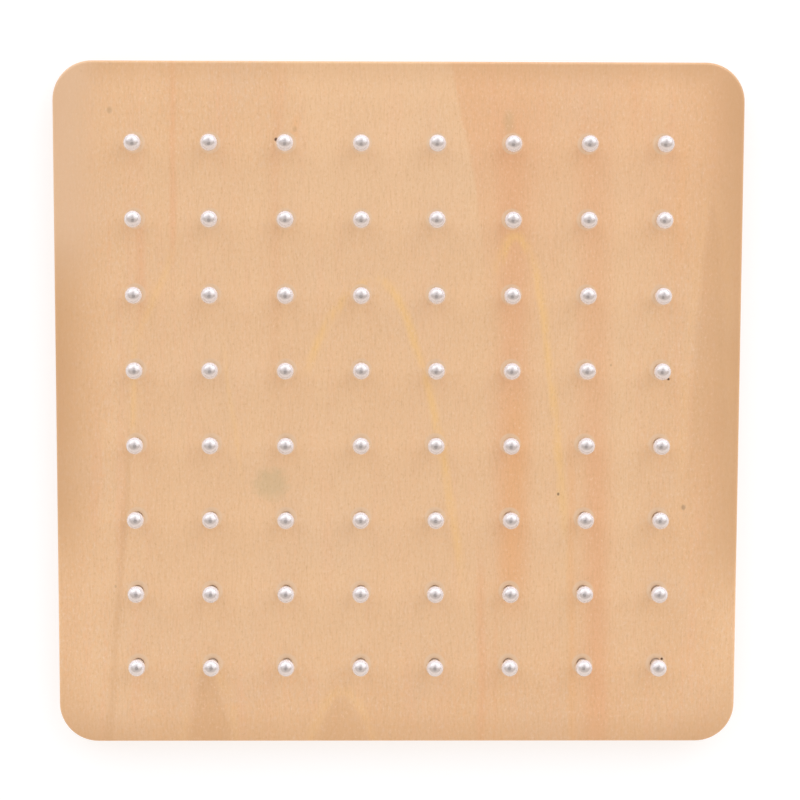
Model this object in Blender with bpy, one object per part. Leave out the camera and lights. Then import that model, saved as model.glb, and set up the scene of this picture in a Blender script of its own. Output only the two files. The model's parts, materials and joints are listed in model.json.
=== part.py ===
"""Geoboard: a square plywood board with a grid of ball-headed metal pins that hold rubber bands.

Lengths are in metres and +Z is up. The origin is the centre of the board's underside. X runs
across the board, and Y runs from its front edge to its back edge.
"""

import math

import bmesh
import bpy
from mathutils import Vector

# The board
BOARD_SIDE = 0.2286
BOARD_THICKNESS = 0.010
CORNER_RADIUS = 0.013
EDGE_ROUNDING = 0.0010

# The grid of pins, centred on the board
PIN_ROWS = 8
PIN_COLUMNS = 8
PIN_PITCH = 0.025

# One pin, measured from the board's top face
STEM_DIAMETER = 0.0034
HEAD_DIAMETER = 0.0057
HEAD_CENTRE_HEIGHT = 0.0068
PIN_DEPTH = 0.0065
PIN_END_CHAMFER = 0.0004

# The hole that a pin is pressed into
PIN_CLEARANCE = 0.0003
COUNTERSINK_DIAMETER = 0.0072
COUNTERSINK_DEPTH = 0.0006

# The strip inside the board that ties the front row of pins into one piece
STRIP_WIDTH = 0.0018
STRIP_THICKNESS = 0.0010
STRIP_ABOVE_PIN_END = 0.0012

# How finely round shapes are divided, and how far a cutter runs past the face that it cuts
PIN_SIDES = 12
HEAD_RINGS = 5
CORNER_STEPS = 6
ROUNDING_STEPS = 2
CUTTER_OVERRUN = 0.0010
MERGE_DISTANCE = 0.000001
SHARP_ANGLE = math.radians(40)


def clear_scene():
    for item in list(bpy.data.objects):
        bpy.data.objects.remove(item, do_unlink=True)


def make_material(name, colour, roughness, metallic):
    material = bpy.data.materials.new(name)
    material.use_nodes = True
    shader = material.node_tree.nodes["Principled BSDF"]
    shader.inputs["Base Color"].default_value = (*colour, 1.0)
    shader.inputs["Roughness"].default_value = roughness
    shader.inputs["Metallic"].default_value = metallic
    material.diffuse_color = (*colour, 1.0)
    return material


def make_wood():
    return make_material("basswood_plywood", (0.79, 0.50, 0.29), 0.55, 0.0)


def make_pin_metal():
    return make_material("nickel_plated_steel", (0.80, 0.79, 0.78), 0.20, 1.0)


def add_turned(bm, profile, centre=Vector((0.0, 0.0, 0.0))):
    """Turn (radius, height) points, whose first and last lie on the axis, about a vertical axis."""
    points = [bm.verts.new(centre + Vector((radius, 0.0, height))) for radius, height in profile]
    edges = [bm.edges.new(pair) for pair in zip(points, points[1:])]
    bmesh.ops.spin(
        bm,
        geom=points + edges,
        cent=centre,
        axis=(0.0, 0.0, 1.0),
        angle=math.tau,
        steps=PIN_SIDES,
        use_merge=True,
    )


def finish_mesh(bm, name, material):
    """Weld and orient the faces, then shade what is round as smooth."""
    bmesh.ops.remove_doubles(bm, verts=bm.verts, dist=MERGE_DISTANCE)
    bmesh.ops.recalc_face_normals(bm, faces=bm.faces)
    mesh = bpy.data.meshes.new(name)
    bm.to_mesh(mesh)
    bm.free()
    mesh.materials.append(material)
    mesh.shade_smooth()
    mesh.set_sharp_from_angle(angle=SHARP_ANGLE)
    return mesh


def add_object(name, mesh, parent, location=(0.0, 0.0, 0.0)):
    item = bpy.data.objects.new(name, mesh)
    item.location = location
    item.parent = parent
    bpy.context.scene.collection.objects.link(item)
    return item


def add_guide(name, mesh, parent, location=(0.0, 0.0, 0.0)):
    """A cutter or a tool body, which isn't a piece of the board."""
    item = add_object(name, mesh, parent, location)
    item.hide_render = True
    item.display_type = "WIRE"
    return item


def add_boolean(item, operation, tool):
    modifier = item.modifiers.new(f"{operation.lower()}_{tool.name}", "BOOLEAN")
    modifier.operation = operation
    modifier.solver = "EXACT"
    modifier.object = tool


def column_x(column):
    return (column - (PIN_COLUMNS - 1) / 2) * PIN_PITCH


def row_y(row):
    """Row 0 is the back row."""
    return ((PIN_ROWS - 1) / 2 - row) * PIN_PITCH


def front_row():
    return PIN_ROWS - 1


def pin_profile():
    """From the end in the wood, up the stem and round the ball head, with the board's top at 0."""
    stem_radius = STEM_DIAMETER / 2
    head_radius = HEAD_DIAMETER / 2
    neck_angle = math.asin(stem_radius / head_radius)
    profile = [
        (0.0, -PIN_DEPTH),
        (stem_radius - PIN_END_CHAMFER, -PIN_DEPTH),
        (stem_radius, -PIN_DEPTH + PIN_END_CHAMFER),
    ]
    for ring in range(HEAD_RINGS):
        angle = neck_angle + (math.pi - neck_angle) * ring / HEAD_RINGS
        height = HEAD_CENTRE_HEIGHT - head_radius * math.cos(angle)
        profile.append((head_radius * math.sin(angle), height))
    profile.append((0.0, HEAD_CENTRE_HEIGHT + head_radius))
    return profile


def hole_profile():
    """A blind hole, clear of the pin, that opens in a countersink at the board's top."""
    hole_radius = STEM_DIAMETER / 2 + PIN_CLEARANCE
    sink_radius = COUNTERSINK_DIAMETER / 2
    spread = (sink_radius - hole_radius) / COUNTERSINK_DEPTH
    return [
        (0.0, -PIN_DEPTH - PIN_CLEARANCE),
        (hole_radius, -PIN_DEPTH - PIN_CLEARANCE),
        (hole_radius, -COUNTERSINK_DEPTH),
        (sink_radius + spread * CUTTER_OVERRUN, CUTTER_OVERRUN),
        (0.0, CUTTER_OVERRUN),
    ]


def strip_mesh(name, material, clearance):
    """The strip along the front row, grown all round by a clearance."""
    length = (PIN_COLUMNS - 1) * PIN_PITCH + 2 * clearance
    bm = bmesh.new()
    bmesh.ops.create_cube(bm, size=1.0)
    size = (length, STRIP_WIDTH + 2 * clearance, STRIP_THICKNESS + 2 * clearance)
    bmesh.ops.scale(bm, vec=size, verts=bm.verts)
    return finish_mesh(bm, name, material)


def strip_centre():
    height = BOARD_THICKNESS - PIN_DEPTH + STRIP_ABOVE_PIN_END + STRIP_THICKNESS / 2
    return (0.0, row_y(front_row()), height)


def board_outline(bm):
    """The rounded square, as one face at the underside."""
    reach = BOARD_SIDE / 2 - CORNER_RADIUS
    corners = ((reach, reach), (-reach, reach), (-reach, -reach), (reach, -reach))
    points = []
    for quarter, (x, y) in enumerate(corners):
        for step in range(CORNER_STEPS + 1):
            angle = (quarter + step / CORNER_STEPS) * math.pi / 2
            offset = Vector((math.cos(angle), math.sin(angle), 0.0)) * CORNER_RADIUS
            points.append(bm.verts.new(Vector((x, y, 0.0)) + offset))
    return bm.faces.new(points)


def board_mesh(material):
    bm = bmesh.new()
    underside = board_outline(bm)
    raised = bmesh.ops.extrude_face_region(bm, geom=[underside], use_keep_orig=True)["geom"]
    top = [item for item in raised if isinstance(item, bmesh.types.BMVert)]
    bmesh.ops.translate(bm, vec=(0.0, 0.0, BOARD_THICKNESS), verts=top)
    return finish_mesh(bm, "board", material)


def make_board(parent, wood):
    """The plywood board, with eased edges, a blind hole for each pin and a slot for the strip."""
    board = add_object("board", board_mesh(wood), parent)
    rounding = board.modifiers.new("eased_edges", "BEVEL")
    rounding.width = EDGE_ROUNDING
    rounding.segments = ROUNDING_STEPS
    rounding.limit_method = "ANGLE"
    rounding.angle_limit = SHARP_ANGLE

    bm = bmesh.new()
    for row in range(PIN_ROWS):
        for column in range(PIN_COLUMNS):
            add_turned(bm, hole_profile(), Vector((column_x(column), row_y(row), 0.0)))
    holes = finish_mesh(bm, "hole_cutter", wood)
    hole_cutter = add_guide("hole_cutter", holes, parent, (0.0, 0.0, BOARD_THICKNESS))
    add_boolean(board, "DIFFERENCE", hole_cutter)

    slot = strip_mesh("strip_slot_cutter", wood, PIN_CLEARANCE)
    slot_cutter = add_guide("strip_slot_cutter", slot, parent, strip_centre())
    add_boolean(board, "DIFFERENCE", slot_cutter)


def make_single_pins(parent, metal):
    """Every pin behind the front row is a piece by itself."""
    bm = bmesh.new()
    add_turned(bm, pin_profile())
    mesh = finish_mesh(bm, "pin", metal)
    for row in range(front_row()):
        for column in range(PIN_COLUMNS):
            name = f"pin_row{row + 1}_col{column + 1}"
            add_object(name, mesh, parent, (column_x(column), row_y(row), BOARD_THICKNESS))


def make_front_row(parent, metal):
    """The front row's pins, tied by a strip that lies hidden inside the board."""
    bm = bmesh.new()
    for column in range(PIN_COLUMNS):
        add_turned(bm, pin_profile(), Vector((column_x(column), 0.0, 0.0)))
    mesh = finish_mesh(bm, "front_row_pins", metal)
    place = (0.0, row_y(front_row()), BOARD_THICKNESS)
    pins = add_object("pins_front_row", mesh, parent, place)
    strip = add_guide("strip_body", strip_mesh("strip_body", metal, 0.0), parent, strip_centre())
    add_boolean(pins, "UNION", strip)


def main():
    clear_scene()
    wood = make_wood()
    metal = make_pin_metal()
    geoboard = bpy.data.objects.new("geoboard", None)
    bpy.context.scene.collection.objects.link(geoboard)
    make_board(geoboard, wood)
    make_single_pins(geoboard, metal)
    make_front_row(geoboard, metal)


main()
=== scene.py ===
"""Looks of a wooden geoboard: a plywood board and its ball-headed metal pins, on a pale studio floor."""

import json
import math

import bmesh
import bpy
from mathutils import Matrix, Vector, noise

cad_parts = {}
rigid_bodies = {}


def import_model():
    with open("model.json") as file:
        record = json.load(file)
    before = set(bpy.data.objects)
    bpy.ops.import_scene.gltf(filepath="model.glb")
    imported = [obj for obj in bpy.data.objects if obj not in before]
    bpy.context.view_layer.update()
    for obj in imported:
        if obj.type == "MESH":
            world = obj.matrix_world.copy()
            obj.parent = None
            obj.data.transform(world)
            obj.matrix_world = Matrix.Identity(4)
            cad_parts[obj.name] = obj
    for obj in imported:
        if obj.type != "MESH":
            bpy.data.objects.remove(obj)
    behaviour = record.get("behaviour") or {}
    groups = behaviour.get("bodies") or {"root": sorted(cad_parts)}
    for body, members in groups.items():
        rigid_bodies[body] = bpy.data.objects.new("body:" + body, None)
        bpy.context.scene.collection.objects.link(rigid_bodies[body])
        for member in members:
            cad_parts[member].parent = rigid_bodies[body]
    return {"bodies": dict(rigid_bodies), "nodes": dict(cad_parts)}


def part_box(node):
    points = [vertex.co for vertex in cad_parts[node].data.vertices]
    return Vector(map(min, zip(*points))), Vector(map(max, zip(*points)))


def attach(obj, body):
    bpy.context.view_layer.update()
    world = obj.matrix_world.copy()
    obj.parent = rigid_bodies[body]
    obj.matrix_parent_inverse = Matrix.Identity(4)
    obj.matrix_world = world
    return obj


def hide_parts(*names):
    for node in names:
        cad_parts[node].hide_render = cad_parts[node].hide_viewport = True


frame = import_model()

bl_info = {
    "name": "Geoboard",
    "version": (1, 0, 0),
    "blender": (4, 5, 0),
    "location": "3D View > Sidebar > Geoboard",
    "description": "Builds the plywood board, its metal pins and a studio around the packed frame",
    "category": "Object",
}

BODY = next(iter(frame["bodies"]))
MM = 0.001
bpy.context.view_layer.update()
BOARD_LOW, BOARD_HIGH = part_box("board")
THICKNESS = BOARD_HIGH.z - BOARD_LOW.z
HALF = BOARD_HIGH.x / MM
FRONT_ROW = "pins_front_row"
SINGLE_PINS = sorted(name for name in frame["nodes"] if name.startswith("pin_row"))


def box_middle(name):
    low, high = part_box(name)
    return (low + high) / 2


def distinct(values):
    """Sorted places, with those that differ only by rounding taken as one."""
    found = []
    for value in sorted(values):
        if not found or value - found[-1] > MM:
            found.append(value)
    return found


COLUMN_XS = distinct(box_middle(name).x for name in SINGLE_PINS)
ROW_YS = distinct([box_middle(name).y for name in SINGLE_PINS] + [box_middle(FRONT_ROW).y])
PITCH = COLUMN_XS[1] - COLUMN_XS[0]
GRID_HALF = COLUMN_XS[-1] + PITCH / 2
PIN_END, PIN_TOP = (corner.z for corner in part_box(FRONT_ROW))
HEAD_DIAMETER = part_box(SINGLE_PINS[0])[1].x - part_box(SINGLE_PINS[0])[0].x

# How finely the meshes are divided
FOOT_SIDES = 48
SINK_RINGS = 5
STRAIGHT_STEPS = 80
ROUNDING_STEPS = 6
PIN_SIDES = 40
BALL_RINGS = 18
FILLET_RINGS = 5
RING_SIDES = 64

# Edges steeper than these stay sharp
BOARD_SHARP = math.radians(50)
PIN_SHARP = math.radians(40)
STAGE_SHARP = math.radians(30)

# The hole round a pin, the lip between it and its countersink, and the flat's rings past the rim
HOLE_GAP = 0.02 * MM
HOLE_SPARE_DEPTH = 0.3 * MM
LIP_WIDTH = 0.08 * MM
LIP_DEPTH = 0.15 * MM
SINK_CURVE = 1.5
FLAT_RINGS = (0.5 * MM, 1.0 * MM, 1.6 * MM, 2.8 * MM)

# The sawn edge: half the width of a glue line's groove, and how far saw marks and sanding reach in
GROOVE_HALF = 0.09 * MM
SAWN_FUZZ = 0.03 * MM
SANDED_FUZZ = 0.012 * MM

# How the pins' lean turns and grows from one pin to the next, in radians
LEAN_BEARING_STEP = 2.4
LEAN_SIZE_STEP = 1.7

# Chipped rims, each as column and row counted from the front left pin, bearing and distance from
# the pin's axis, and radius
CHIP_DEPTH = 0.35 * MM
CHIPS = (
    (2, 7, math.radians(161), 3.3 * MM, 0.65 * MM),
    (7, 4, math.radians(-48), 4.2 * MM, 0.45 * MM),
    (7, 0, math.radians(39), 2.56 * MM, 0.46 * MM),
)


def linear(red, green, blue):
    """A display colour, 0 to 255, as scene-linear values."""
    return tuple(
        (part / 255 / 12.92) if part <= 10 else ((part / 255 + 0.055) / 1.055) ** 2.4
        for part in (red, green, blue)
    )


# ---------------------------------------------------------------- settings


class GeoboardWood(bpy.types.PropertyGroup):
    """Sizes and colour of the plywood board"""

    corner_radius: bpy.props.FloatProperty(
        name="Corner radius",
        description="Radius of the board's corners, seen from above",
        default=0.013,
        unit="LENGTH",
    )
    edge_rounding: bpy.props.FloatProperty(
        name="Edge rounding",
        description="Radius sanded onto the board's long edges",
        default=0.0010,
        unit="LENGTH",
    )
    sink_diameter: bpy.props.FloatProperty(
        name="Countersink diameter",
        description="Width of the shallow dish round each pin",
        default=0.0072,
        unit="LENGTH",
    )
    sink_depth: bpy.props.FloatProperty(
        name="Countersink depth",
        description="Depth of the dish at the pin",
        default=0.00035,
        unit="LENGTH",
    )
    face_veneer: bpy.props.FloatProperty(
        name="Face veneer",
        description="Thickness of the two outer plies",
        default=0.0008,
        unit="LENGTH",
    )
    core_plies: bpy.props.IntProperty(
        name="Core plies",
        description="Number of plies between the two face veneers",
        default=5,
        min=1,
    )
    glue_groove: bpy.props.FloatProperty(
        name="Glue line groove",
        description="How far a glue line lies below the board's sawn edge",
        default=0.00005,
        unit="LENGTH",
    )
    face_colour: bpy.props.FloatVectorProperty(
        name="Face colour",
        description="Main colour of the face veneer",
        subtype="COLOR",
        size=3,
        default=linear(232, 188, 143),
    )


class GeoboardPins(bpy.types.PropertyGroup):
    """Sizes, colours and lean of the pins"""

    stem_diameter: bpy.props.FloatProperty(
        name="Stem diameter",
        description="Diameter of a pin below its head",
        default=0.0034,
        unit="LENGTH",
    )
    neck_fillet: bpy.props.FloatProperty(
        name="Neck fillet",
        description="Radius between the stem and the ball head",
        default=0.00035,
        unit="LENGTH",
    )
    end_chamfer: bpy.props.FloatProperty(
        name="End chamfer",
        description="Chamfer on the end that is pressed into the wood",
        default=0.0004,
        unit="LENGTH",
    )
    lean: bpy.props.FloatProperty(
        name="Lean",
        description="Most that a pressed-in pin stands out of true",
        default=math.radians(0.7),
        subtype="ANGLE",
    )
    metal_colour: bpy.props.FloatVectorProperty(
        name="Metal colour",
        description="Colour of the nickel plate",
        subtype="COLOR",
        size=3,
        default=(0.63, 0.56, 0.53),
    )
    stem_colour: bpy.props.FloatVectorProperty(
        name="Stem colour",
        description="Colour of the bare steel below a head",
        subtype="COLOR",
        size=3,
        default=(0.62, 0.63, 0.66),
    )
    satin_colour: bpy.props.FloatVectorProperty(
        name="Satin colour",
        description="Colour of the satin flank below the buffed crown of a head",
        subtype="COLOR",
        size=3,
        default=(0.79, 0.765, 0.79),
    )
    roughness: bpy.props.FloatProperty(
        name="Roughness",
        description="Roughness of the plate where it is clean",
        default=0.14,
        min=0.0,
        max=1.0,
    )


class GeoboardStudio(bpy.types.PropertyGroup):
    """The camera, the floor and the light"""

    camera_place: bpy.props.FloatVectorProperty(
        name="Camera",
        description="Place of the camera",
        subtype="TRANSLATION",
        unit="LENGTH",
        default=(-0.0110, 0.0823, 0.7745),
    )
    camera_target: bpy.props.FloatVectorProperty(
        name="Target",
        description="Point that the camera looks at",
        subtype="TRANSLATION",
        unit="LENGTH",
        default=(0.00042, 0.00292, 0.0168),
    )
    camera_roll: bpy.props.FloatProperty(
        name="Roll",
        description="Turn of the camera about its line of sight",
        default=math.radians(0.18),
        subtype="ANGLE",
    )
    lens: bpy.props.FloatProperty(
        name="Lens",
        description="Focal length in millimetres on a 36 mm wide sensor",
        default=103.5,
    )
    floor_colour: bpy.props.FloatVectorProperty(
        name="Floor colour",
        description="Colour of the paper sweep",
        subtype="COLOR",
        size=3,
        default=(0.46, 0.46, 0.46),
    )
    floor_glow: bpy.props.FloatProperty(
        name="Floor glow",
        description="Light that comes up through the paper",
        default=0.60,
    )
    back_strength: bpy.props.FloatProperty(
        name="Back",
        description="Brightness of the tent behind the board",
        default=1.42,
    )
    front_strength: bpy.props.FloatProperty(
        name="Front",
        description="Brightness of the tent in front of the board",
        default=1.26,
    )
    gap_strength: bpy.props.FloatProperty(
        name="Gap",
        description="Brightness of the grey gap overhead",
        default=0.66,
    )
    low_glow: bpy.props.FloatProperty(
        name="Low glow",
        description="How much brighter the tent is near the floor",
        default=1.2,
    )
    back_colour: bpy.props.FloatVectorProperty(
        name="Back colour",
        description="Colour of the daylight behind the board",
        subtype="COLOR",
        size=3,
        default=(0.955, 0.99, 1.06),
    )
    front_colour: bpy.props.FloatVectorProperty(
        name="Front colour",
        description="Colour of the light in front of the board and overhead",
        subtype="COLOR",
        size=3,
        default=(1.07, 0.985, 0.92),
    )
    key_strength: bpy.props.FloatProperty(
        name="Key light",
        description="Added brightness of the stronger light, behind and to the right",
        default=1.0,
    )
    fill_strength: bpy.props.FloatProperty(
        name="Fill light",
        description="Added brightness of the weaker light, behind and to the left",
        default=0.5,
    )
    ring_place: bpy.props.FloatVectorProperty(
        name="Ring",
        description="Middle of the dark ring above the board that the heads mirror",
        subtype="TRANSLATION",
        unit="LENGTH",
        default=(-0.05, -0.06, 0.50),
    )
    ring_inner: bpy.props.FloatProperty(
        name="Ring, inner radius",
        description="Inner radius of the dark ring that the heads mirror",
        default=0.045,
        unit="LENGTH",
    )
    ring_outer: bpy.props.FloatProperty(
        name="Ring, outer radius",
        description="Outer radius of the dark ring that the heads mirror",
        default=0.20,
        unit="LENGTH",
    )


# ---------------------------------------------------------------- shader maths


class Socket:
    """An output of a shader node. Arithmetic on it adds Math nodes."""

    def __init__(self, shader, port):
        self.shader = shader
        self.port = port

    def math(self, operation, *values, clamp=False):
        settings = {"operation": operation, "use_clamp": clamp}
        return self.shader.node("ShaderNodeMath", settings, dict(enumerate(values)))

    def __add__(self, other):
        return self.math("ADD", self, other)

    __radd__ = __add__

    def __sub__(self, other):
        return self.math("SUBTRACT", self, other)

    def __rsub__(self, other):
        return self.math("SUBTRACT", other, self)

    def __mul__(self, other):
        return self.math("MULTIPLY", self, other)

    __rmul__ = __mul__

    def __truediv__(self, other):
        return self.math("DIVIDE", self, other)

    def __rtruediv__(self, other):
        return self.math("DIVIDE", other, self)

    def __abs__(self):
        return self.math("ABSOLUTE", self)

    def root(self):
        return self.math("SQRT", self)

    def floor(self):
        return self.math("FLOOR", self)

    def modulo(self, step):
        return self.math("FLOORED_MODULO", self, step)

    def limited(self):
        """The value held between 0 and 1."""
        return self.math("ADD", self, 0.0, clamp=True)

    def larger(self, other):
        return self.math("MAXIMUM", self, other)

    def below(self, limit):
        """1 where the value is under a limit, and 0 elsewhere."""
        return self.math("LESS_THAN", self, limit)

    def angle_from(self, other):
        """The angle whose tangent is this value over another, in radians."""
        return self.math("ARCTAN2", self, other)


class Shader:
    """The nodes behind a material's or a world's last shader."""

    def __init__(self, owner, last="Principled BSDF"):
        self.owner = owner
        self.owner.use_nodes = True
        self.tree = self.owner.node_tree
        self.surface = self.tree.nodes[last]

    @classmethod
    def of_material(cls, name):
        return cls(bpy.data.materials.new(name))

    def node(self, kind, settings=None, sockets=None, output=0):
        """Add a node: its settings first, then a value or a link for each socket."""
        made = self.tree.nodes.new(kind)
        for name, value in (settings or {}).items():
            setattr(made, name, value)
        self.fill(made, sockets or {})
        return Socket(self, made.outputs[output])

    def fill(self, made, sockets):
        for name, value in sockets.items():
            if isinstance(value, Socket):
                self.tree.links.new(value.port, made.inputs[name])
            else:
                made.inputs[name].default_value = value

    def place(self):
        """Where a point lies, in millimetres, as x, y and z."""
        metres = self.node("ShaderNodeTexCoord", output="Object")
        return self.split(self.scaled(metres, 1 / MM))

    def scaled(self, vector, factor):
        settings = {"operation": "SCALE"}
        return self.node("ShaderNodeVectorMath", settings, {"Vector": vector, "Scale": factor})

    def split(self, vector):
        parts = self.node("ShaderNodeSeparateXYZ", None, {"Vector": vector})
        return tuple(Socket(self, port) for port in parts.port.node.outputs)

    def join(self, x, y, z=0.0):
        return self.node("ShaderNodeCombineXYZ", None, {"X": x, "Y": y, "Z": z})

    def noise(self, x, y, z=0.0, detail=2.0, roughness=0.5):
        """Smooth noise from 0 to 1, with one hump to each unit of its coordinates."""
        sockets = {"Vector": self.join(x, y, z), "Scale": 1.0, "Detail": detail}
        sockets["Roughness"] = roughness
        return self.node("ShaderNodeTexNoise", {"noise_dimensions": "3D"}, sockets)

    def ramp(self, value, low, high):
        """0 at low and beyond, 1 at high and beyond, and a smooth step between."""
        sockets = {"Value": value, "From Min": low, "From Max": high}
        return self.node("ShaderNodeMapRange", {"interpolation_type": "SMOOTHSTEP"}, sockets)

    def bell(self, value, width):
        """1 where a value is 0, falling to 0 at width on either side."""
        return self.ramp(abs(value), width, 0.0)

    def mix(self, factor, first, second):
        """From the first colour to the second.

        The sockets go by number, because the node repeats their names for its other data types.
        """
        settings = {"data_type": "RGBA", "clamp_factor": True}
        sockets = {0: factor, 6: as_colour(first), 7: as_colour(second)}
        return self.node("ShaderNodeMix", settings, sockets, output=2)

    def bump(self, height, distance):
        """A normal from a height of 0 to 1 that stands for a distance in metres."""
        sockets = {"Height": height, "Distance": distance}
        return self.node("ShaderNodeBump", None, sockets)

    def finish(self, sockets):
        self.fill(self.surface, sockets)
        return self.owner


def as_colour(value):
    return value if isinstance(value, Socket) else (*value, 1.0)


# ---------------------------------------------------------------- wood


# Colours of the face veneer, as seen under white light
PALE_WOOD = linear(240, 201, 158)
COOL_WOOD = linear(228, 192, 157)
PINK_WOOD = linear(236, 185, 144)
RED_WOOD = linear(234, 175, 128)
ORANGE_WOOD = linear(238, 180, 122)
HONEY_LINE = linear(244, 198, 130)
BROWN_LINE = linear(212, 164, 116)
# Darker tone along parts of the edges, also used as painted shade in the corners
EDGE_DARK_AND_CORNER_SHADE = linear(205, 159, 113)
GREEN_STAIN = linear(186, 172, 128)
WARM_TONE = linear(236, 182, 130)
COOL_TONE = linear(236, 200, 168)
FLECK_LIGHT = linear(246, 212, 178)
FLECK_DARK = linear(206, 158, 108)
PORE = linear(184, 138, 98)
RAW_WOOD = linear(236, 203, 168)
CHIP_DARK = linear(96, 66, 44)
# Painted shade round the mouth of each hole
HOLE_PAINTED_SHADE = linear(168, 126, 90)
GLUE = linear(132, 90, 58)
LONG_GRAIN = linear(214, 172, 132)
END_GRAIN = linear(176, 130, 92)

# The face veneer's figure, in millimetres from the middle of the board.

# Pointed arches of the growth rings: apex x and y, spread to the left and right, how far down the
# left and right flanks run, strength of the line and of the stain inside
ARCHES = (
    (-7.5, 42.0, 18.0, 8.5, 34.0, 120.0, 0.70, 0.00),
    (39.0, 57.0, 2.9, 2.9, 14.0, 122.0, 0.66, 0.00),
    (-63.5, -87.0, 3.2, 3.2, 60.0, 60.0, 0.20, 0.40),
    (-19.0, -97.0, 7.0, 7.0, 60.0, 60.0, 0.30, 0.32),
    (104.0, 71.0, 0.9, 0.9, 118.0, 118.0, 0.12, 0.34),
)

# Streaks along the grain: x and y at the upper end, x and y at the lower end, half width, strength
# and tint
STREAKS = (
    (37.5, 96.0, 38.5, -62.0, 9.5, 0.60, RED_WOOD),
    (39.5, 2.0, 38.0, -66.0, 7.0, 0.46, ORANGE_WOOD),
    (28.0, -52.0, 28.5, -130.0, 2.4, 0.44, RED_WOOD),
    (33.0, -66.0, 33.0, -130.0, 1.6, 0.25, RED_WOOD),
    (64.0, 92.0, 67.5, -130.0, 8.5, 0.42, RED_WOOD),
    (67.0, -10.0, 68.0, -130.0, 6.0, 0.38, RED_WOOD),
    (58.0, -15.0, 60.0, -130.0, 2.4, 0.38, ORANGE_WOOD),
    (-74.0, 130.0, -75.0, 50.0, 1.8, 0.47, RED_WOOD),
    (-75.5, 50.0, -86.5, 24.0, 2.2, 0.33, HONEY_LINE),
    (-88.0, 20.0, -89.0, -12.0, 1.5, 0.41, HONEY_LINE),
    (-90.0, -14.0, -97.5, -130.0, 2.0, 0.30, BROWN_LINE),
    (-85.5, 62.0, -86.0, 30.0, 2.4, 0.36, RED_WOOD),
    (-58.0, 18.0, -52.0, -22.0, 1.3, 0.25, HONEY_LINE),
    (78.0, 130.0, 78.0, 90.0, 4.0, 0.28, RED_WOOD),
    (94.0, 90.0, 93.0, 48.0, 3.0, 0.25, ORANGE_WOOD),
    (-40.5, 112.0, -41.5, 10.0, 3.0, 0.19, RED_WOOD),
    (-34.0, 97.0, -34.5, 88.0, 2.2, 0.39, ORANGE_WOOD),
    (36.5, 98.0, 36.5, 91.0, 2.8, 0.28, GREEN_STAIN),
)

# Small dark specks: x, y, radius and strength
SPECKS = (
    (-95.5, 98.0, 0.9, 0.22),
    (53.8, -29.5, 0.42, 0.75),
    (96.0, -34.0, 0.75, 0.40),
    (-34.5, 92.0, 0.8, 0.15),
    (-95.0, -61.0, 0.4, 0.25),
    (71.0, 14.0, 0.35, 0.25),
)

# Middle of the greenish smudge
SMUDGE_X, SMUDGE_Y = -42.5, -26

# Where the heartwood starts, left to right, and how its edge bends away above a height
HEARTWOOD_X = 29
HEARTWOOD_BEND_Y = 20
HEARTWOOD_BEND = 0.00144

# How far the figure is moved for the underside, so that the two faces differ
UNDERSIDE_SHIFT_X, UNDERSIDE_SHIFT_Y = 190, -420


def grain_across(shader, x, y):
    """The x of the growth line through a point, which wanders as the line runs along the board."""
    slow = (shader.noise(x / 70, y / 190, 3.1) - 0.5) * 4
    quick = (shader.noise(x / 9, y / 24, 7.7, detail=3.0) - 0.5) * 2.4
    return x + slow + quick


def arch_distance(shader, across, y, arch):
    """How far inside a pointed arch a point lies, in millimetres, and how much of the arch is left."""
    apex_x, apex_y, left_spread, right_spread, left_run, right_run = arch
    off = across - apex_x
    right = shader.ramp(off, -0.5, 0.5)
    spread = left_spread + right * (right_spread - left_spread)
    run = left_run + right * (right_run - left_run)
    steepness = off * 2 / spread
    inside = ((apex_y - y) - off * off / spread) / (steepness * steepness + 1).root()
    return inside, shader.ramp((apex_y - y) / run, 1.0, 0.6)


def streak_mask(shader, across, y, streak):
    """1 along the middle of a streak, falling off to its sides and past its ends."""
    top_x, top_y, bottom_x, bottom_y, half_width = streak
    middle = bottom_x + (y - bottom_y) * ((top_x - bottom_x) / (top_y - bottom_y))
    soft = min(12.0, (top_y - bottom_y) / 3)
    run = shader.ramp(y, bottom_y - soft, bottom_y + soft)
    run = run * shader.ramp(y, top_y + soft, top_y - soft)
    return shader.bell(across - middle, half_width) * run


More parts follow.
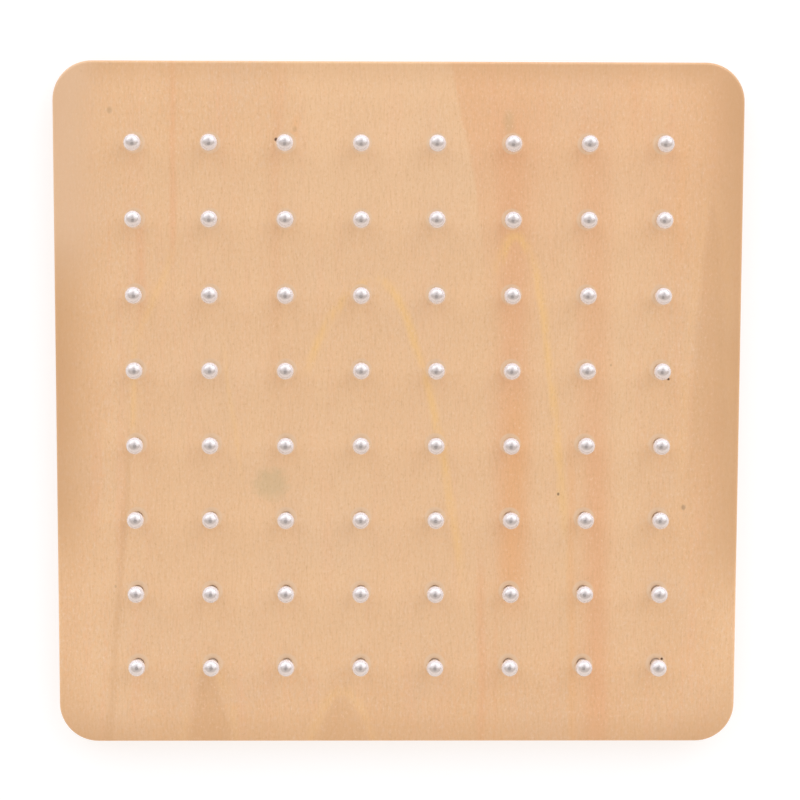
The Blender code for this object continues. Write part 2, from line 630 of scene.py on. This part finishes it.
def figured_veneer(shader, x, y, base):
    """The colour of the face veneer, with its bands, streaks and arches."""
    across = grain_across(shader, x, y)
    broad = shader.noise(across / 17, y / 200, 1.3, detail=3.0)
    medium = shader.noise(across / 3.6, y / 60, 5.2, detail=4.0, roughness=0.6)
    cloud = shader.noise(x / 26, y / 34, 9.4, detail=4.0, roughness=0.6)
    colour = shader.mix(shader.ramp(broad, 0.42, 0.72) * 0.45, base, PALE_WOOD)
    colour = shader.mix(shader.ramp(cloud, 0.46, 0.74) * 0.45, colour, COOL_WOOD)
    colour = shader.mix(shader.ramp(medium, 0.46, 0.72) * 0.50, colour, PINK_WOOD)
    tone = shader.noise(across / 1.1, y / 2.2, 4.9, detail=3.0, roughness=0.6)
    colour = shader.mix(shader.ramp(tone, 0.48, 0.75) * 0.50, colour, WARM_TONE)
    colour = shader.mix(shader.ramp(tone, 0.48, 0.25) * 0.60, colour, COOL_TONE)
    # Painted light: the middle of the board is made paler, as if more light fell there than near its rim
    inner = shader.ramp(abs(x).larger(abs(y)), HALF - 10, HALF - 46)
    colour = shader.mix(inner * 0.45, colour, PALE_WOOD)

    climb = (y - HEARTWOOD_BEND_Y).larger(0.0)
    seam = across - HEARTWOOD_X + climb * climb * HEARTWOOD_BEND
    heartwood = shader.ramp(seam, -0.8, 1.2)
    upper = shader.ramp(y, 48, 82)
    pale_side = shader.ramp(across, -42, -26) * (1 - heartwood) * upper
    brown_side = heartwood * (shader.ramp(seam, 36, 12) * 0.4 + 0.6) * shader.ramp(y, 20, 90)
    colour = shader.mix(pale_side * 0.45, colour, PALE_WOOD)
    colour = shader.mix(brown_side * 0.36, colour, RED_WOOD)
    for *streak, strength, tint in STREAKS:
        mask = streak_mask(shader, across, y, streak) * strength
        colour = shader.mix(mask, colour, tint)
    for *arch, line, darkening in ARCHES:
        inside, left = arch_distance(shader, across, y, arch)
        broken = shader.ramp(shader.noise(x / 5, y / 13, arch[0]), 0.25, 0.60)
        colour = shader.mix(shader.ramp(inside, 0.0, 5.0) * left * darkening, colour, BROWN_LINE)
        colour = shader.mix(shader.bell(inside, 2.6) * broken * left * line, colour, HONEY_LINE)
    return colour, across


def darker_edges_and_smudge(shader, colour, x, y):
    """The board's face made darker along parts of its edges, with painted shade in its corners, and the
    greenish smudge on its face.
    """
    patch = shader.noise(x / 30, y / 30, 2.6) * 0.6 + 0.7
    # Darker along parts of the left, right, front and back edges
    left = shader.ramp(x, 18 - HALF, -2 - HALF) * shader.ramp(y, -66, -30)
    left = left * (1 - shader.ramp(y, 48, 66) * 0.4)
    right = shader.ramp(x, HALF - 19, HALF + 1) * shader.ramp(y, -76, -40)
    near = shader.ramp(y, 13 - HALF, -HALF) * 0.48
    far = shader.ramp(y, HALF - 11, HALF) * (shader.ramp(x, 0, 50) * 0.22 + 0.46)
    darkening = left.larger(right).larger(near).larger(far)
    colour = shader.mix(darkening * patch * 0.74, colour, EDGE_DARK_AND_CORNER_SHADE)
    # Painted shade: the corners are made darker, as if less light reached them
    corner = shader.ramp((x * x + y * y).root(), HALF * 1.2, HALF * 1.36)
    colour = shader.mix(corner * 0.30, colour, EDGE_DARK_AND_CORNER_SHADE)
    cool = shader.ramp(x, 20 - HALF, 4 - HALF) * shader.ramp(y, 30, 62)
    colour = shader.mix(cool * 0.55, colour, COOL_WOOD)
    rough_edge = (shader.noise(x / 3, y / 3, 4.4) - 0.5) * 5
    off_x, off_y = x - SMUDGE_X, y - SMUDGE_Y
    spot = (off_x * off_x + off_y * off_y).root() + rough_edge
    return shader.mix(shader.ramp(spot, 7.5, 2.5) * 0.34, colour, GREEN_STAIN)


def fibres(shader, x, y):
    """Fine fibre streaks, flecks and short pores, each from 0 to 1, by the grain's own x."""
    fine = shader.noise(x / 0.42, y / 5.0, 0.7, detail=3.0, roughness=0.6)
    fleck = shader.noise(x / 0.75, y / 1.25, 6.1, detail=3.0, roughness=0.75)
    pores = shader.ramp(shader.noise(x / 0.30, y / 2.8, 8.8, detail=2.0), 0.66, 0.80)
    return fine, fleck, pores


def foot_radius(shader, x, y):
    """Distance from the nearest pin's axis, in millimetres."""
    step, start = PITCH / MM, GRID_HALF / MM
    local_x = (x + start).modulo(step) - step / 2
    local_y = (y + start).modulo(step) - step / 2
    outside = shader.ramp(abs(x).larger(abs(y)), start - 0.5, start + 0.5) * step
    return (local_x * local_x + local_y * local_y).root() + outside


def chip_mask(shader, x, y):
    """1 on the chipped rims."""
    mask = 0.0
    for column, row, bearing, distance, radius in CHIPS:
        middle_x = (COLUMN_XS[column] + math.cos(bearing) * distance) / MM
        middle_y = (ROW_YS[row] + math.sin(bearing) * distance) / MM
        off_x, off_y = x - middle_x, y - middle_y
        away = (off_x * off_x + off_y * off_y).root()
        mask = shader.ramp(away, radius / MM * 1.3, radius / MM * 0.5) + mask
    return mask.limited()


def speck_mask(shader, x, y):
    """How strongly a speck shows, from 0 to 1."""
    mask = 0.0
    for middle_x, middle_y, radius, strength in SPECKS:
        off_x, off_y = x - middle_x, (y - middle_y) * 0.8
        away = (off_x * off_x + off_y * off_y).root()
        mask = shader.ramp(away, radius * 1.4, radius * 0.4) * strength + mask
    return mask


def edge_plies(shader, wood, x, y, z):
    """The colour of the sawn edge, and how far it is end grain.

    The plies show long and end grain by turns, with glue lines between.
    """
    veneer, total = wood.face_veneer / MM, THICKNESS / MM
    core = (total - 2 * veneer) / wood.core_plies
    layer = (z - veneer) / core
    ply = layer.floor()
    crossed = ply.modulo(2.0).below(0.5)
    on_x_side = shader.ramp(abs(x) - abs(y), -4.0, 4.0)
    end_on = crossed * on_x_side + (1 - crossed) * (1 - on_x_side)
    along = y * on_x_side + x * (1 - on_x_side)
    run = shader.noise(along / 14, z / 0.22, ply, detail=3.0)
    dots = shader.noise(along / 0.28, z / 0.30, 3.3, detail=2.0, roughness=0.7)
    long_grain = shader.mix(shader.ramp(run, 0.35, 0.70) * 0.7, LONG_GRAIN, PINK_WOOD)
    end_grain = shader.mix(shader.ramp(dots, 0.35, 0.68), END_GRAIN, LONG_GRAIN)
    colour = shader.mix(end_on, long_grain, end_grain)
    from_line = abs((layer + 0.5).modulo(1.0) - 0.5) * core
    wobble = (shader.noise(along / 5, z / 2, 1.9) - 0.5) * 0.08
    glue = shader.ramp(from_line + wobble, 0.14, 0.05)
    return shader.mix(glue * 0.85, colour, GLUE), end_on


def plywood(wood):
    """Basswood plywood with a thin satin finish."""
    shader = Shader.of_material("basswood_plywood")
    x, y, z = shader.place()
    top = BOARD_HIGH.z / MM
    under = shader.ramp(z, top / 2 + 0.1, top / 2 - 0.1)
    figure_x, figure_y = x + under * UNDERSIDE_SHIFT_X, y + under * UNDERSIDE_SHIFT_Y
    face, across = figured_veneer(shader, figure_x, figure_y, tuple(wood.face_colour))
    fine, fleck, pores = fibres(shader, across, y)
    face = shader.mix(shader.ramp(fine, 0.45, 0.72) * 0.22, face, FLECK_DARK)
    face = shader.mix(shader.ramp(fleck, 0.48, 0.20) * 0.55, face, FLECK_DARK)
    face = shader.mix(shader.ramp(fleck, 0.52, 0.80) * 0.65, face, FLECK_LIGHT)
    face = shader.mix(pores * 0.28, face, PORE)
    face = darker_edges_and_smudge(shader, face, x, y)

    radius = foot_radius(shader, x, y) + (fleck - 0.5) * 0.5
    near_top = shader.ramp(z, top - 1.2, top - 0.7)
    ring = shader.ramp(radius, 3.9, 3.1) * near_top
    face = shader.mix(ring * 0.80, face, RAW_WOOD)
    # Painted shade: a darker band round the mouth of the hole, where the head shades the wood
    face = shader.mix(shader.ramp(radius, 2.15, 1.75) * near_top * 0.4, face, HOLE_PAINTED_SHADE)
    chips = chip_mask(shader, x, y) * near_top
    face = shader.mix(chips, face, CHIP_DARK)
    face = shader.mix(speck_mask(shader, x, y) * near_top, face, CHIP_DARK)

    edge, end_on = edge_plies(shader, wood, x, y, z)
    veneer = wood.face_veneer / MM
    core = shader.ramp(z, veneer - 0.05, veneer + 0.05) * shader.ramp(
        z, top - veneer + 0.05, top - veneer - 0.05
    )
    colour = shader.mix(core, face, edge)
    height = fine * 0.5 + fleck * 0.3 - pores * 0.6
    roughness = 0.42 + (fine - 0.5) * 0.18 + pores * 0.2 + core * end_on * 0.22 + ring * 0.1
    return shader.finish(
        {
            "Base Color": colour,
            "Roughness": roughness,
            "Specular IOR Level": 0.5,
            "Normal": shader.bump(height, 0.00006),
        }
    )


def on_circle(angle, radius):
    return Vector((math.cos(angle), math.sin(angle))) * radius


def four_turns(side):
    """The points of a square's right side, repeated anticlockwise along all four."""
    return [Matrix.Rotation(math.pi / 2 * turn, 2) @ point for turn in range(4) for point in side]


def outline(half, radius):
    """A rounded square, anticlockwise from the middle of its lower right corner."""
    reach = half - radius
    corner_steps = (FOOT_SIDES // 4 * len(ROW_YS) - STRAIGHT_STEPS) // 2
    side = []
    for step in range(corner_steps):
        angle = math.pi / 4 * (step / corner_steps - 1)
        side.append(Vector((reach, -reach)) + on_circle(angle, radius))
    for step in range(STRAIGHT_STEPS):
        side.append(Vector((half, reach * (2 * step / STRAIGHT_STEPS - 1))))
    for step in range(corner_steps):
        angle = math.pi / 4 * step / corner_steps
        side.append(Vector((reach, reach)) + on_circle(angle, radius))
    return four_turns(side)


def cell_border(half):
    """Points round one pin's square of the board, in step with the rings round the pin."""
    border = []
    for side in range(FOOT_SIDES):
        angle = math.tau * (side / FOOT_SIDES - 1 / 8)
        reach = half / max(abs(math.cos(angle)), abs(math.sin(angle)))
        border.append(on_circle(angle, reach))
    return border


def foot_rings(wood, pins):
    """The hole and its countersink as radius and depth, from the hole's floor outwards."""
    hole = pins.stem_diameter / 2 + HOLE_GAP
    rim, deep = wood.sink_diameter / 2, wood.sink_depth
    rings = [(hole, BOARD_HIGH.z - PIN_END + HOLE_SPARE_DEPTH), (hole, deep + LIP_DEPTH)]
    for step in range(SINK_RINGS + 1):
        share = step / SINK_RINGS
        depth = deep * (1 - share) ** SINK_CURVE
        rings.append((hole + LIP_WIDTH + (rim - hole) * share, depth))
    rings.extend((rim + grown, 0.0) for grown in FLAT_RINGS)
    return rings


def chip_depth(x, y):
    """How deep a chipped rim is at a point of the board's face."""
    depth = 0.0
    for column, row, bearing, distance, radius in CHIPS:
        middle = Vector((COLUMN_XS[column], ROW_YS[row])) + on_circle(bearing, distance)
        share = (Vector((x, y)) - middle).length / (radius * 1.2)
        if share < 1:
            depth = max(depth, CHIP_DEPTH * (1 - share * share))
    return depth


class BoardMesh:
    """The board's skin, built up vertex by vertex."""

    def __init__(self, wood, pins):
        self.wood = wood
        self.pins = pins
        self.bm = bmesh.new()
        self.shared = {}

    def border_vertex(self, x, y):
        """A vertex on a line between two pins' squares, made once."""
        key = (round(x / MM, 3), round(y / MM, 3))
        if key not in self.shared:
            self.shared[key] = self.bm.verts.new((x, y, BOARD_HIGH.z))
        return self.shared[key]

    def bridge(self, inner, outer):
        """Faces between two loops that run anticlockwise, seen from outside."""
        count = len(inner)
        for index in range(count):
            after = (index + 1) % count
            self.bm.faces.new((inner[index], outer[index], outer[after], inner[after]))

    def add_cell(self, middle):
        """One pin's hole, its countersink and the flat round it."""
        border = cell_border(PITCH / 2)
        last = None
        for radius, depth in foot_rings(self.wood, self.pins):
            ring = []
            for point in border:
                place = middle + point.normalized() * radius
                # The chips take the rim and the flat beside it, but not the wall of the hole
                sunk = depth + (chip_depth(*place) if depth < MM else 0.0)
                ring.append(self.bm.verts.new((*place, BOARD_HIGH.z - sunk)))
            if last:
                self.bridge(last, ring)
            else:
                self.bm.faces.new(ring)
            last = ring
        self.bridge(last, [self.border_vertex(*(middle + point)) for point in border])

    def grid_border(self):
        """The square round all the pins, in step with the board's outline."""
        half = PITCH / 2
        steps = FOOT_SIDES // 4
        side = []
        for middle in ROW_YS:
            for step in range(steps):
                angle = math.pi / 2 * (step / steps - 1 / 2)
                side.append(Vector((GRID_HALF, middle + half * math.tan(angle))))
        return [self.border_vertex(*point) for point in four_turns(side)]

    def edge_profile(self):
        """Inset and height down the board's edge, with a fine groove at each glue line."""
        rounding = self.wood.edge_rounding
        arc = [math.pi / 2 * step / ROUNDING_STEPS for step in range(ROUNDING_STEPS + 1)]
        profile = [
            (rounding * (1 - math.sin(angle)), BOARD_HIGH.z - rounding * (1 - math.cos(angle)))
            for angle in arc
        ]
        veneer = self.wood.face_veneer
        core = (THICKNESS - 2 * veneer) / self.wood.core_plies
        for ply in range(self.wood.core_plies, -1, -1):
            line = BOARD_LOW.z + veneer + core * ply
            if rounding < line - BOARD_LOW.z < THICKNESS - rounding:
                profile.append((0.0, line + GROOVE_HALF))
                profile.append((self.wood.glue_groove, line))
                profile.append((0.0, line - GROOVE_HALF))
            middle = line - core / 2
            if rounding < middle - BOARD_LOW.z < THICKNESS - rounding:
                profile.append((0.0, middle))
        # The lower edge is rounded as the upper one is
        under = [(inset, BOARD_LOW.z + BOARD_HIGH.z - height) for inset, height in profile]
        return profile + under[ROUNDING_STEPS::-1]

    def add_edge(self, inner):
        """The flat outside the pins, the board's edge and its underside."""
        for inset, height in self.edge_profile():
            points = outline(BOARD_HIGH.x - inset, self.wood.corner_radius - inset)
            loop = []
            for point in points:
                fuzz = self.edge_fuzz(point, height)
                place = point - point.normalized() * fuzz
                loop.append(self.bm.verts.new((*place, height)))
            self.bridge(inner, loop)
            inner = loop
        self.bm.faces.new(inner[::-1])

    def edge_fuzz(self, point, height):
        """Saw marks and raised fibres, always inwards."""
        place = Vector((point.x / (0.9 * MM), point.y / (0.9 * MM), height / (0.6 * MM)))
        rounding = self.wood.edge_rounding
        on_side = rounding < height - BOARD_LOW.z < THICKNESS - rounding
        return (SAWN_FUZZ if on_side else SANDED_FUZZ) * (0.5 + 0.5 * noise.noise(place))

    def finish(self, material):
        for y in ROW_YS:
            for x in COLUMN_XS:
                self.add_cell(Vector((x, y)))
        self.add_edge(self.grid_border())
        return shaded_mesh(self.bm, "board", material, BOARD_SHARP)


def shaded_mesh(bm, name, material, sharp_angle):
    mesh = bpy.data.meshes.new(name)
    bm.to_mesh(mesh)
    bm.free()
    mesh.materials.append(material)
    mesh.shade_smooth()
    mesh.set_sharp_from_angle(angle=sharp_angle)
    return mesh


def add_piece(name, mesh):
    piece = bpy.data.objects.new(name, mesh)
    bpy.context.scene.collection.objects.link(piece)
    return piece


class GEOBOARD_OT_board(bpy.types.Operator):
    """Build the plywood board, with a countersunk hole for each pin"""

    bl_idname = "geoboard.board"
    bl_label = "Board"

    def execute(self, context):
        wood = context.scene.geoboard_wood
        mesh = BoardMesh(wood, context.scene.geoboard_pins).finish(plywood(wood))
        board = add_piece("plywood_board", mesh)
        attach(board, BODY)
        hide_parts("board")
        return {"FINISHED"}


# ---------------------------------------------------------------- pins


# Painted shade low on a pin's stem, just above the board
FOOT_PAINTED_SHADE = linear(205, 180, 160)

# Where a head turns from buffed to satin, and where its satin flank ends at the stem, as shares of
# its radius above and below its middle
SATIN_TOP = (0.78, 0.56)
SATIN_END = (-0.75, -0.95)


def nickel_plate(pins):
    """Faintly clouded nickel plate, buffed on the crowns and satin on the flanks, over bare stems with
    painted shade just above the board.
    """
    shader = Shader.of_material("nickel_plate")
    x, y, z = shader.place()
    cloud = shader.noise(x / 1.6, y / 1.6, z / 1.6, detail=3.0, roughness=0.6)
    speck = shader.noise(x / 0.35, y / 0.35, z / 0.35, detail=2.0)
    turned = shader.noise(x / 2.5, y / 2.5, z / 0.10, detail=2.0)
    clean = tuple(pins.metal_colour)
    dull = tuple(part * 0.86 for part in clean)
    colour = shader.mix(shader.ramp(cloud, 0.45, 0.75) * 0.45, clean, dull)
    ball = HEAD_DIAMETER / 2 / MM
    middle = PIN_TOP / MM - ball
    satin = shader.ramp(z, *(middle + ball * share for share in SATIN_TOP))
    stem = shader.ramp(z, *(middle + ball * share for share in SATIN_END))
    colour = shader.mix(stem, colour, tuple(pins.stem_colour))
    satin = satin * (1 - stem)
    colour = shader.mix(satin, colour, tuple(pins.satin_colour))
    board_top = BOARD_HIGH.z / MM
    # Painted shade: the stem is darkened towards the board
    stem_foot_shade = shader.ramp(z + (cloud - 0.5) * 1.2, board_top + 1.9, board_top + 0.2)
    colour = shader.mix(stem_foot_shade * 0.5, colour, FOOT_PAINTED_SHADE)
    roughness = pins.roughness + shader.ramp(cloud, 0.40, 0.80) * 0.10 + (speck - 0.5) * 0.05
    return shader.finish(
        {
            "Base Color": colour,
            "Metallic": 0.45 - satin * 0.33,
            "Coat Weight": 1.0,
            "Coat Roughness": 0.10,
            "Coat IOR": 1.6,
            "Roughness": roughness,
            "Normal": shader.bump(turned * 0.6 + speck * 0.4, 0.000006),
        }
    )


def pin_profile(pins):
    """Radius and height up a pin, from its end in the wood to the crown of its ball."""
    stem, ball, fillet = pins.stem_diameter / 2, HEAD_DIAMETER / 2, pins.neck_fillet
    middle = PIN_TOP - ball
    profile = [(stem - pins.end_chamfer, PIN_END), (stem, PIN_END + pins.end_chamfer)]
    fillet_x = stem + fillet
    fillet_drop = math.sqrt((ball + fillet) ** 2 - fillet_x**2)
    bearing = math.asin(fillet_x / (ball + fillet))
    profile.append((stem, (PIN_END + middle - fillet_drop) / 2))
    for step in range(FILLET_RINGS + 1):
        angle = (math.pi / 2 - bearing) * step / FILLET_RINGS
        offset = (fillet_x - fillet * math.cos(angle), fillet * math.sin(angle))
        profile.append((offset[0], middle - fillet_drop + offset[1]))
    for step in range(1, BALL_RINGS):
        angle = bearing + (math.pi - bearing) * step / BALL_RINGS
        profile.append((ball * math.sin(angle), middle - ball * math.cos(angle)))
    return profile


def pin_mesh(name, pins, place, number, material):
    """One turned pin, leaning a little out of true as a pressed-in pin does."""
    bm = bmesh.new()
    rings = []
    for radius, height in pin_profile(pins):
        turn = [math.tau * side / PIN_SIDES for side in range(PIN_SIDES)]
        ring = [(radius * math.cos(angle), radius * math.sin(angle), height) for angle in turn]
        rings.append([bm.verts.new(point) for point in ring])
    for lower, upper in zip(rings, rings[1:]):
        for side in range(PIN_SIDES):
            after = (side + 1) % PIN_SIDES
            bm.faces.new((lower[side], lower[after], upper[after], upper[side]))
    bm.faces.new(rings[0][::-1])
    crown = bm.verts.new((0.0, 0.0, PIN_TOP))
    for side in range(PIN_SIDES):
        bm.faces.new((rings[-1][side], rings[-1][(side + 1) % PIN_SIDES], crown))
    bearing = number * LEAN_BEARING_STEP
    lean = pins.lean * (0.5 + 0.5 * math.sin(number * LEAN_SIZE_STEP))
    axis = Vector((math.cos(bearing), math.sin(bearing), 0.0))
    foot = Matrix.Translation((0.0, 0.0, BOARD_HIGH.z))
    leaned = foot @ Matrix.Rotation(lean, 4, axis) @ foot.inverted()
    bm.transform(Matrix.Translation((*place, 0.0)) @ leaned)
    return shaded_mesh(bm, name, material, PIN_SHARP)


def stood_for(x, y):
    """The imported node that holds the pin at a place."""
    for name in SINGLE_PINS:
        middle = box_middle(name)
        if abs(middle.x - x) < MM and abs(middle.y - y) < MM:
            return name
    return FRONT_ROW


class GEOBOARD_OT_pins(bpy.types.Operator):
    """Build every ball-headed pin"""

    bl_idname = "geoboard.pins"
    bl_label = "Pins"

    def execute(self, context):
        pins = context.scene.geoboard_pins
        material = nickel_plate(pins)
        number = 0
        for row, y in enumerate(reversed(ROW_YS), start=1):
            for column, x in enumerate(COLUMN_XS, start=1):
                name = f"ball_pin_row{row}_col{column}"
                pin = add_piece(name, pin_mesh(name, pins, (x, y), number, material))
                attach(pin, BODY)
                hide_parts(stood_for(x, y))
                number += 1
        return {"FINISHED"}


# ---------------------------------------------------------------- stage


FLOOR_HALF = 6.0
FLOOR_GAP = 0.0002
SENSOR_WIDTH = 36.0

# The tent's lights: two soft round ones behind the board, and the edges of the gap overhead,
# measured from straight up
KEY_AZIMUTH = math.radians(40)
FILL_AZIMUTH = math.radians(132)
LIGHT_ELEVATION = math.radians(32)
LIGHT_INNER, LIGHT_OUTER = 0.20, 0.60
GAP_OUTER, GAP_INNER = math.radians(57), math.radians(38)


def add_floor(studio):
    """A sheet of white paper on a light table."""
    shader = Shader.of_material("paper_sweep")
    x, y, _ = shader.place()
    tooth = shader.noise(x / 0.8, y / 0.8, detail=2.0)
    material = shader.finish(
        {
            "Base Color": (*studio.floor_colour, 1.0),
            "Roughness": 0.85,
            "Emission Color": (1.0, 1.0, 1.0, 1.0),
            "Emission Strength": studio.floor_glow,
            "Normal": shader.bump(tooth, 0.00001),
        }
    )
    bm = bmesh.new()
    bmesh.ops.create_grid(bm, x_segments=1, y_segments=1, size=FLOOR_HALF)
    floor = add_piece("floor", shaded_mesh(bm, "floor", material, STAGE_SHARP))
    floor.location.z = BOARD_LOW.z - FLOOR_GAP


def add_dark_ring(studio):
    """A dark ring above the board. It shows only in reflections, as the dark core of each head."""
    shader = Shader.of_material("dark_ring")
    material = shader.finish({"Base Color": (0.03, 0.028, 0.027, 1.0), "Roughness": 0.9})
    bm = bmesh.new()
    turn = [math.tau * side / RING_SIDES for side in range(RING_SIDES)]
    inner, outer = (
        [bm.verts.new((*on_circle(angle, radius), 0.0)) for angle in turn]
        for radius in (studio.ring_inner, studio.ring_outer)
    )
    for side in range(RING_SIDES):
        after = (side + 1) % RING_SIDES
        bm.faces.new((inner[side], outer[side], outer[after], inner[after]))
    ring = add_piece("dark_ring", shaded_mesh(bm, "dark_ring", material, STAGE_SHARP))
    ring.location = studio.ring_place
    ring.visible_camera = False
    ring.visible_diffuse = False
    ring.visible_transmission = False
    ring.visible_shadow = False


def round_light(shader, direction, azimuth):
    """1 in a round part of the tent, falling smoothly to 0 between two angles from its middle."""
    flat = math.cos(LIGHT_ELEVATION)
    middle = (flat * math.cos(azimuth), flat * math.sin(azimuth), math.sin(LIGHT_ELEVATION))
    x, y, z = direction
    closeness = x * middle[0] + y * middle[1] + z * middle[2]
    return shader.ramp(closeness, math.cos(LIGHT_OUTER), math.cos(LIGHT_INNER))


def add_surround(studio):
    """A white tent: cool and bright behind the board, warmer in front, with a grey gap overhead.

    The camera itself sees plain white behind the floor.
    """
    world = bpy.data.worlds.new("tent")
    bpy.context.scene.world = world
    world.use_nodes = True
    shader = Shader(world, "Background")
    direction = shader.split(shader.node("ShaderNodeTexCoord", output="Generated"))
    x, y, z = direction
    back = shader.ramp(y, -0.10, 0.45)
    low = shader.ramp(z, 0.50, 0.10) * shader.ramp(y, 0.35, 0.85)
    tent = studio.front_strength + (studio.back_strength - studio.front_strength) * back
    tent = tent + low * studio.low_glow
    lean = y.angle_from(z)
    gap = shader.ramp(abs(lean), GAP_OUTER, GAP_INNER) * shader.ramp(z, 0.0, 0.2)
    tent = tent + gap * (studio.gap_strength - tent)
    key = round_light(shader, direction, KEY_AZIMUTH)
    fill = round_light(shader, direction, FILL_AZIMUTH)
    tent = tent + key * studio.key_strength + fill * studio.fill_strength
    colour = shader.mix(back, tuple(studio.front_colour), tuple(studio.back_colour))
    seen = shader.node("ShaderNodeLightPath", output="Is Camera Ray")
    colour = shader.mix(seen, colour, (1.0, 1.0, 1.0))
    shader.finish({"Color": colour, "Strength": tent + seen * (1.0 - tent)})


def add_camera(studio):
    """A long lens that looks down on the board from a little behind its middle."""
    data = bpy.data.cameras.new("camera")
    data.sensor_width = SENSOR_WIDTH
    data.lens = studio.lens
    camera = bpy.data.objects.new("camera", data)
    place, target = Vector(studio.camera_place), Vector(studio.camera_target)
    look = (target - place).normalized()
    right = look.cross(Vector((0.0, 1.0, 0.0))).normalized()
    up = right.cross(look)
    turn = Matrix((right, up, -look)).transposed().to_4x4()
    roll = Matrix.Rotation(studio.camera_roll, 4, "Z")
    camera.matrix_world = Matrix.Translation(place) @ turn @ roll
    bpy.context.scene.collection.objects.link(camera)
    bpy.context.scene.camera = camera


class GEOBOARD_OT_studio(bpy.types.Operator):
    """Set up the floor, the lights and the camera"""

    bl_idname = "geoboard.studio"
    bl_label = "Studio"

    def execute(self, context):
        studio = context.scene.geoboard_studio
        add_camera(studio)
        add_floor(studio)
        add_dark_ring(studio)
        add_surround(studio)
        context.scene.view_settings.view_transform = "Standard"
        return {"FINISHED"}


# ---------------------------------------------------------------- add-on


class GEOBOARD_PT_sidebar(bpy.types.Panel):
    """The geoboard's operators and settings"""

    bl_label = "Geoboard"
    bl_idname = "GEOBOARD_PT_sidebar"
    bl_space_type = "VIEW_3D"
    bl_region_type = "UI"
    bl_category = "Geoboard"

    def draw(self, context):
        scene = context.scene
        for group, operator in STEPS:
            box = self.layout.box()
            settings = getattr(scene, group)
            for name in settings.__annotations__:
                box.prop(settings, name)
            box.operator(operator)


STEPS = (
    ("geoboard_wood", "geoboard.board"),
    ("geoboard_pins", "geoboard.pins"),
    ("geoboard_studio", "geoboard.studio"),
)
SETTINGS = {
    "geoboard_wood": GeoboardWood,
    "geoboard_pins": GeoboardPins,
    "geoboard_studio": GeoboardStudio,
}
CLASSES = (
    GeoboardWood,
    GeoboardPins,
    GeoboardStudio,
    GEOBOARD_OT_board,
    GEOBOARD_OT_pins,
    GEOBOARD_OT_studio,
    GEOBOARD_PT_sidebar,
)


def register():
    for item in CLASSES:
        bpy.utils.register_class(item)
    for name, group in SETTINGS.items():
        setattr(bpy.types.Scene, name, bpy.props.PointerProperty(type=group))


def unregister():
    for name in SETTINGS:
        delattr(bpy.types.Scene, name)
    for item in reversed(CLASSES):
        bpy.utils.unregister_class(item)


def main():
    register()
    bpy.ops.geoboard.board()
    bpy.ops.geoboard.pins()
    bpy.ops.geoboard.studio()


if __name__ == "__main__":
    main()
